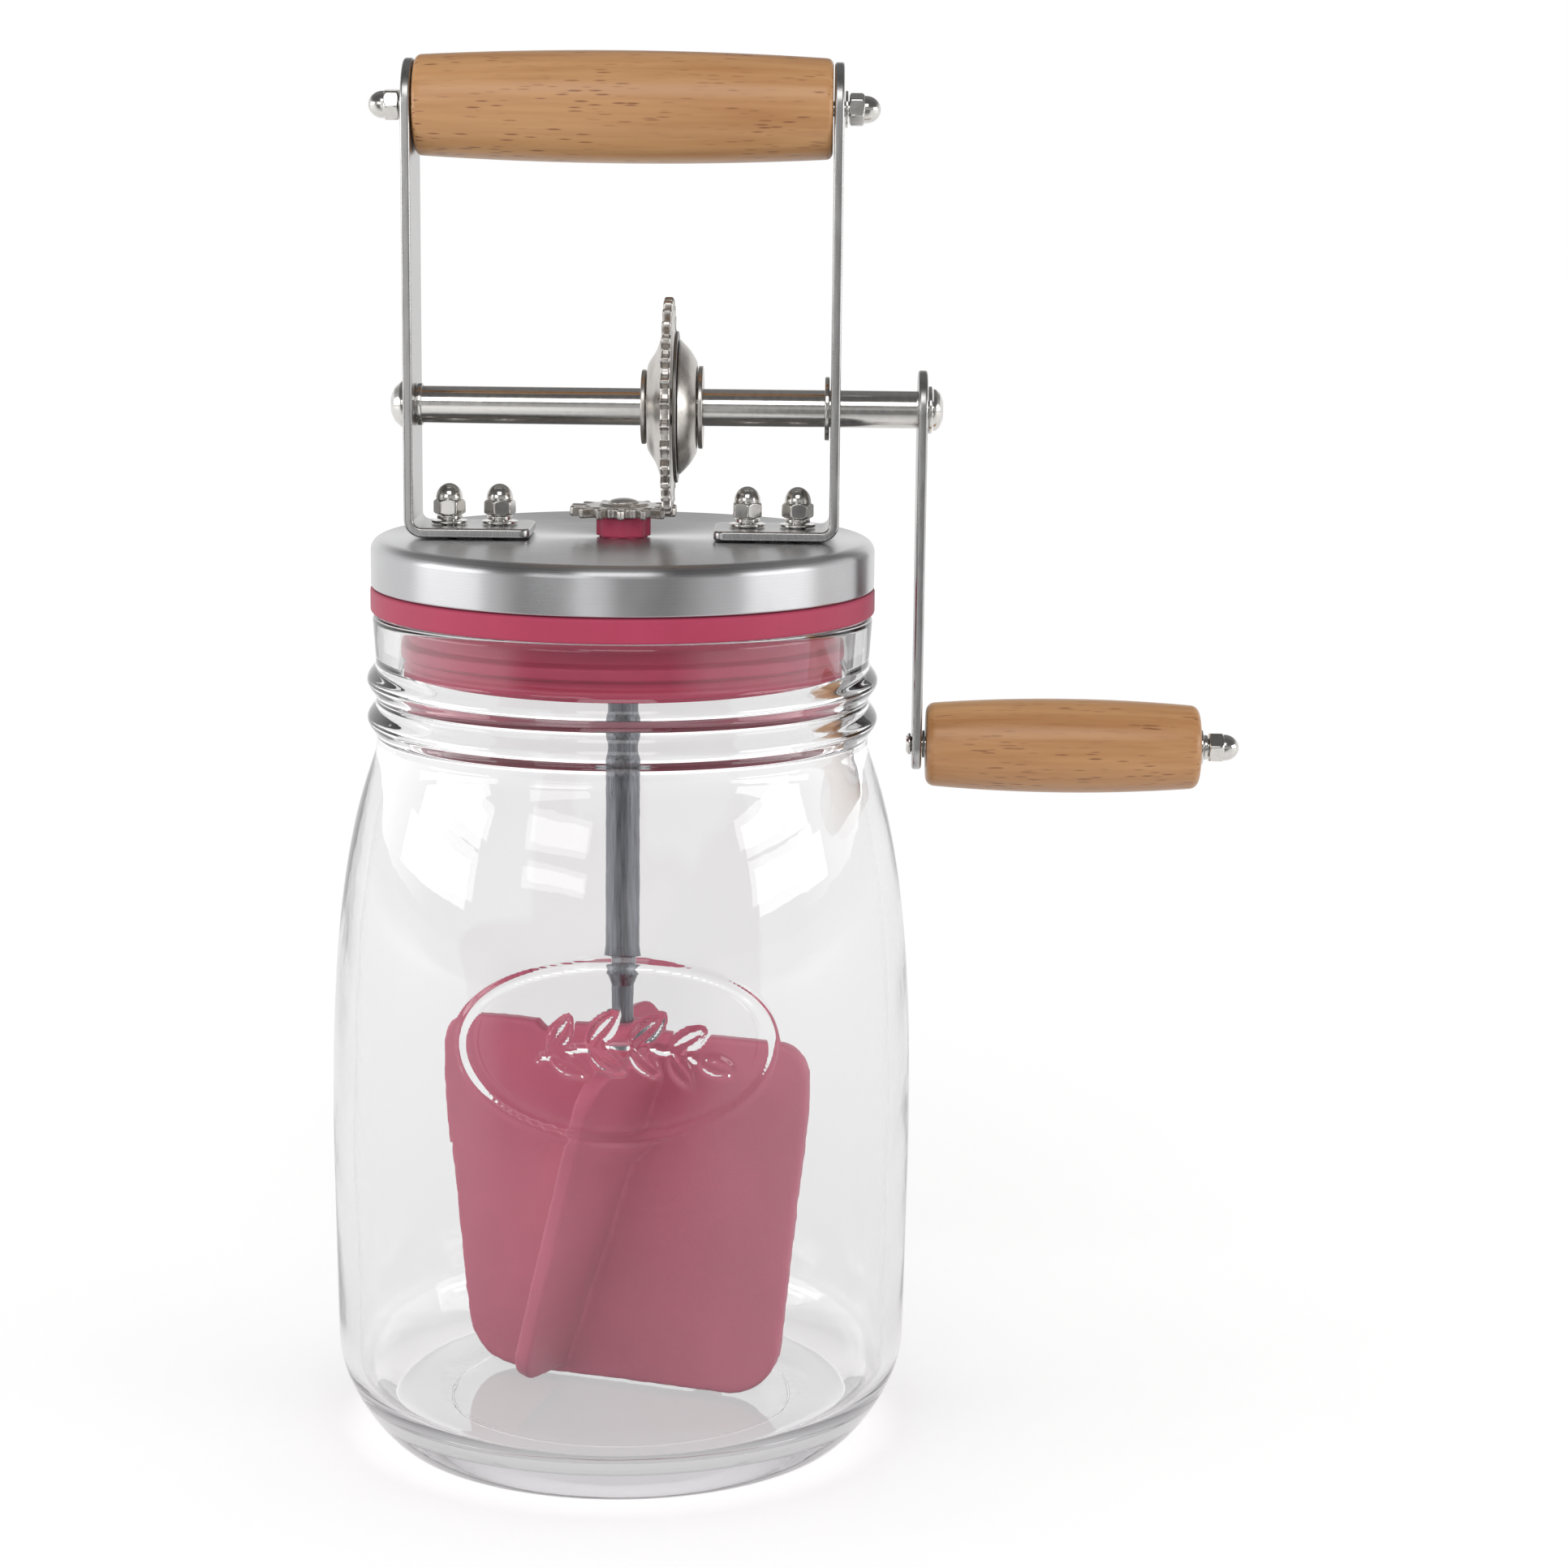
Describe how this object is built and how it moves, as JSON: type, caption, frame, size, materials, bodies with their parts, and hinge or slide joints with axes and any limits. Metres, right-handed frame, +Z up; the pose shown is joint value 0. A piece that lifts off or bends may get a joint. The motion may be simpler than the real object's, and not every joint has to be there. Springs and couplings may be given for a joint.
{
  "type": "butter churn",
  "caption": "Hand-cranked butter churn: glass jar, steel lid on a silicone seal, wooden carrying handle, side crank, right-angle gears and a finned silicone paddle.",
  "frame": {"origin": "the jar's axis on the flat face it stands on", "axes": "+Z up along the jar and the spindle, +X to the crank along the drive shaft, -Y to the viewer of the picture"},
  "size_m": [0.1788, 0.115, 0.2721],
  "materials": {
    "clear_glass": "polished",
    "brushed_steel": "brushed in circles",
    "satin_steel": "satin",
    "polished_steel": "polished",
    "stamped_steel": "stamped and tumbled",
    "dark_steel": "dark",
    "red_silicone": "matte",
    "oiled_beech": "oiled"
  },
  "bodies": {
    "jar": {"glass_jar": "clear_glass"},
    "lid": {"lid_cap": "brushed_steel", "lid_seal": "red_silicone", "spindle_bush": "red_silicone", "bracket_left": "satin_steel", "bracket_right": "satin_steel", "handle_grip": "oiled_beech", "handle_tie_rod": "polished_steel", "handle_washer_left": "polished_steel", "handle_washer_right": "polished_steel", "handle_cap_nut_left": "polished_steel", "handle_cap_nut_right": "polished_steel", "foot_screw_left_outer": "polished_steel", "foot_washer_left_outer": "polished_steel", "foot_spring_washer_left_outer": "polished_steel", "foot_cap_nut_left_outer": "polished_steel", "foot_screw_left_inner": "polished_steel", "foot_washer_left_inner": "polished_steel", "foot_spring_washer_left_inner": "polished_steel", "foot_cap_nut_left_inner": "polished_steel", "foot_screw_right_inner": "polished_steel", "foot_washer_right_inner": "polished_steel", "foot_spring_washer_right_inner": "polished_steel", "foot_cap_nut_right_inner": "polished_steel", "foot_screw_right_outer": "polished_steel", "foot_washer_right_outer": "polished_steel", "foot_spring_washer_right_outer": "polished_steel", "foot_cap_nut_right_outer": "polished_steel"},
    "crank": {"drive_shaft": "polished_steel", "shaft_end_screw": "polished_steel", "shaft_collar_left": "polished_steel", "shaft_washer_right": "polished_steel", "drive_gear": "stamped_steel", "gear_washer_left": "stamped_steel", "gear_backing_disc": "dark_steel", "gear_dome": "stamped_steel", "gear_washer_right": "stamped_steel", "crank_arm": "satin_steel", "crank_washer": "polished_steel", "crank_screw": "polished_steel", "grip_bolt": "polished_steel", "grip_spacer": "dark_steel", "grip_washer": "polished_steel", "grip_spring_washer": "polished_steel", "grip_cap_nut": "polished_steel"},
    "grip": {"crank_grip": "oiled_beech"},
    "spindle": {"spindle": "polished_steel", "spindle_collar": "polished_steel", "pinion": "stamped_steel", "paddle": "red_silicone"}
  },
  "joints": [
    {"name": "lid_lift", "type": "slide", "parent": "jar", "child": "lid", "axis": [0, 0, 1], "range_m": [0, 0.165]},
    {"name": "crank_spin", "type": "hinge", "parent": "lid", "child": "crank", "pos_m": [0, 0, 0.20458], "axis": [1, 0, 0], "continuous": true},
    {"name": "spindle_spin", "type": "hinge", "parent": "lid", "child": "spindle", "pos_m": [0, 0, 0], "axis": [0, 0, 1], "continuous": true},
    {"name": "grip_spin", "type": "hinge", "parent": "crank", "child": "grip", "pos_m": [0.08, 0, 0.13898], "axis": [1, 0, 0], "continuous": true}
  ],
  "couplings": [
    {"joint": "spindle_spin", "follows": "crank_spin", "ratio": 2.1429}
  ]
}
